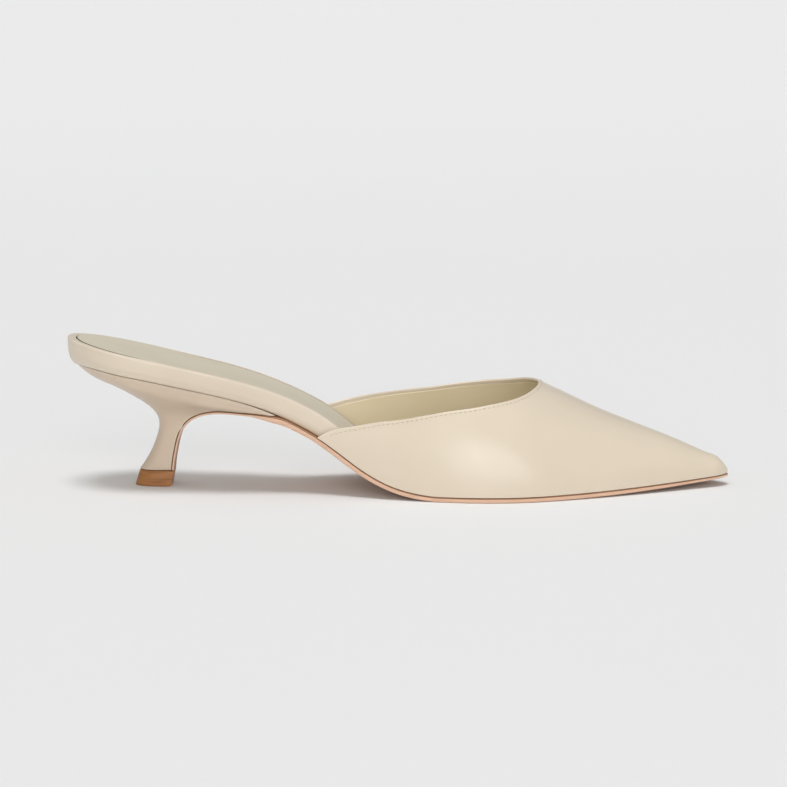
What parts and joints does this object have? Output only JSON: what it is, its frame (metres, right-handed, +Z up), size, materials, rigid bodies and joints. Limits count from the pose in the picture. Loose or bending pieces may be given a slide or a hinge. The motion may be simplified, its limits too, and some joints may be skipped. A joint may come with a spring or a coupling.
{
  "type": "kitten heel mule",
  "caption": "Right-foot pointed kitten heel mule: low-cut smooth leather vamp, open back, inlaid sock, thin leather sole and a low covered heel.",
  "frame": {"origin": "on the floor, under the middle of the shoe's box", "axes": "+X from the heel to the toe, +Y towards the inner (medial) side, +Z up from the floor"},
  "size_m": [0.262, 0.0788, 0.06],
  "materials": {
    "upper_leather": "smooth gloss leather",
    "sock_leather": "matte lining leather",
    "footbed_leather": "smooth leather",
    "sole_leather": "buffed sole leather",
    "heel_cover": "smooth leather stretched over a block",
    "tip_stack": "matte stacked top-piece"
  },
  "bodies": {
    "root": {"upper": "upper_leather", "sock_lining": "sock_leather", "footbed": "footbed_leather", "outsole": "sole_leather", "heel": "heel_cover", "top_piece": "tip_stack"}
  },
  "joints": []
}
